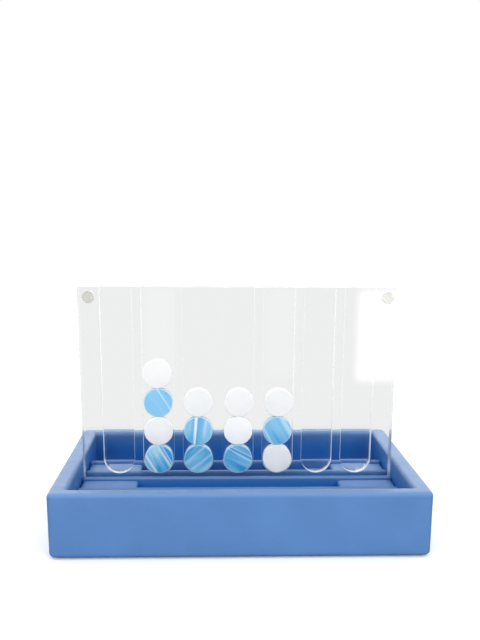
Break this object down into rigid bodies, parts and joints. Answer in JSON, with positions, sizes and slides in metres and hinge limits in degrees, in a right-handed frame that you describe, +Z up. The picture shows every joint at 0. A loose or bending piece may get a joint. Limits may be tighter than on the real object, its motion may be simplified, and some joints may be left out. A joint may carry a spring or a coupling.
{
  "type": "four in a row game",
  "caption": "Clear upright drop-disc board with open-topped slots and round discs, standing in the groove of a low leatherette storage tray.",
  "frame": {"origin": "centre of the tray's underside, on the table", "axes": "+X to the player's right along the board, +Y away from the player, +Z up"},
  "size_m": [0.341, 0.24, 0.231],
  "materials": {
    "leatherette": "fine grained, semi-matt",
    "lining": "fine grained, matt",
    "felt": "matt felt",
    "fibreboard": "raw, unfinished",
    "clear_acrylic": "clear, polished",
    "magnet": "nickel plated",
    "blue_acrylic": "marbled pearl, polished",
    "white_acrylic": "pearl, polished"
  },
  "bodies": {
    "tray": {"base_felt": "felt", "floor_panel": "fibreboard", "front_wall_core": "fibreboard", "back_wall_core": "fibreboard", "left_wall_core": "fibreboard", "right_wall_core": "fibreboard", "tray_wrap": "leatherette", "floor_lining": "lining", "front_outer_rail": "leatherette", "front_inner_rail": "leatherette", "back_inner_rail": "leatherette", "back_outer_rail": "leatherette", "front_left_pad": "leatherette", "front_right_pad": "leatherette", "back_left_pad": "leatherette", "back_right_pad": "leatherette", "board_rest": "lining"},
    "board_block": {"rear_block": "clear_acrylic", "block_magnet_top_left": "magnet", "block_magnet_top_right": "magnet", "block_magnet_low_left": "magnet", "block_magnet_low_right": "magnet"},
    "board_plate": {"front_plate": "clear_acrylic", "plate_magnet_top_left": "magnet", "plate_magnet_top_right": "magnet", "plate_magnet_low_left": "magnet", "plate_magnet_low_right": "magnet"},
    "blue_disc_1": {"blue_disc_1": "blue_acrylic"},
    "white_disc_1": {"white_disc_1": "white_acrylic"},
    "blue_disc_2": {"blue_disc_2": "blue_acrylic"},
    "white_disc_2": {"white_disc_2": "white_acrylic"},
    "blue_disc_3": {"blue_disc_3": "blue_acrylic"},
    "blue_disc_4": {"blue_disc_4": "blue_acrylic"},
    "white_disc_3": {"white_disc_3": "white_acrylic"},
    "blue_disc_5": {"blue_disc_5": "blue_acrylic"},
    "white_disc_4": {"white_disc_4": "white_acrylic"},
    "white_disc_5": {"white_disc_5": "white_acrylic"},
    "white_disc_6": {"white_disc_6": "white_acrylic"},
    "blue_disc_6": {"blue_disc_6": "blue_acrylic"},
    "white_disc_7": {"white_disc_7": "white_acrylic"}
  },
  "joints": [
    {"name": "board_lift", "type": "slide", "parent": "tray", "child": "board_block", "axis": [0, 0, 1], "range_m": [0, 0.06]},
    {"name": "plate_lift", "type": "slide", "parent": "board_block", "child": "board_plate", "axis": [0, 0, 1], "range_m": [0, 0.21]},
    {"name": "blue_disc_1_lift", "type": "slide", "parent": "board_block", "child": "blue_disc_1", "axis": [0, 0, 1], "range_m": [0, 0.19]},
    {"name": "white_disc_1_lift", "type": "slide", "parent": "blue_disc_1", "child": "white_disc_1", "axis": [0, 0, 1], "range_m": [0, 0.16]},
    {"name": "blue_disc_2_lift", "type": "slide", "parent": "white_disc_1", "child": "blue_disc_2", "axis": [0, 0, 1], "range_m": [0, 0.135]},
    {"name": "white_disc_2_lift", "type": "slide", "parent": "blue_disc_2", "child": "white_disc_2", "axis": [0, 0, 1], "range_m": [0, 0.105]},
    {"name": "blue_disc_3_lift", "type": "slide", "parent": "board_block", "child": "blue_disc_3", "axis": [0, 0, 1], "range_m": [0, 0.19]},
    {"name": "blue_disc_4_lift", "type": "slide", "parent": "blue_disc_3", "child": "blue_disc_4", "axis": [0, 0, 1], "range_m": [0, 0.16]},
    {"name": "white_disc_3_lift", "type": "slide", "parent": "blue_disc_4", "child": "white_disc_3", "axis": [0, 0, 1], "range_m": [0, 0.135]},
    {"name": "blue_disc_5_lift", "type": "slide", "parent": "board_block", "child": "blue_disc_5", "axis": [0, 0, 1], "range_m": [0, 0.19]},
    {"name": "white_disc_4_lift", "type": "slide", "parent": "blue_disc_5", "child": "white_disc_4", "axis": [0, 0, 1], "range_m": [0, 0.16]},
    {"name": "white_disc_5_lift", "type": "slide", "parent": "white_disc_4", "child": "white_disc_5", "axis": [0, 0, 1], "range_m": [0, 0.135]},
    {"name": "white_disc_6_lift", "type": "slide", "parent": "board_block", "child": "white_disc_6", "axis": [0, 0, 1], "range_m": [0, 0.19]},
    {"name": "blue_disc_6_lift", "type": "slide", "parent": "white_disc_6", "child": "blue_disc_6", "axis": [0, 0, 1], "range_m": [0, 0.16]},
    {"name": "white_disc_7_lift", "type": "slide", "parent": "blue_disc_6", "child": "white_disc_7", "axis": [0, 0, 1], "range_m": [0, 0.135]}
  ]
}
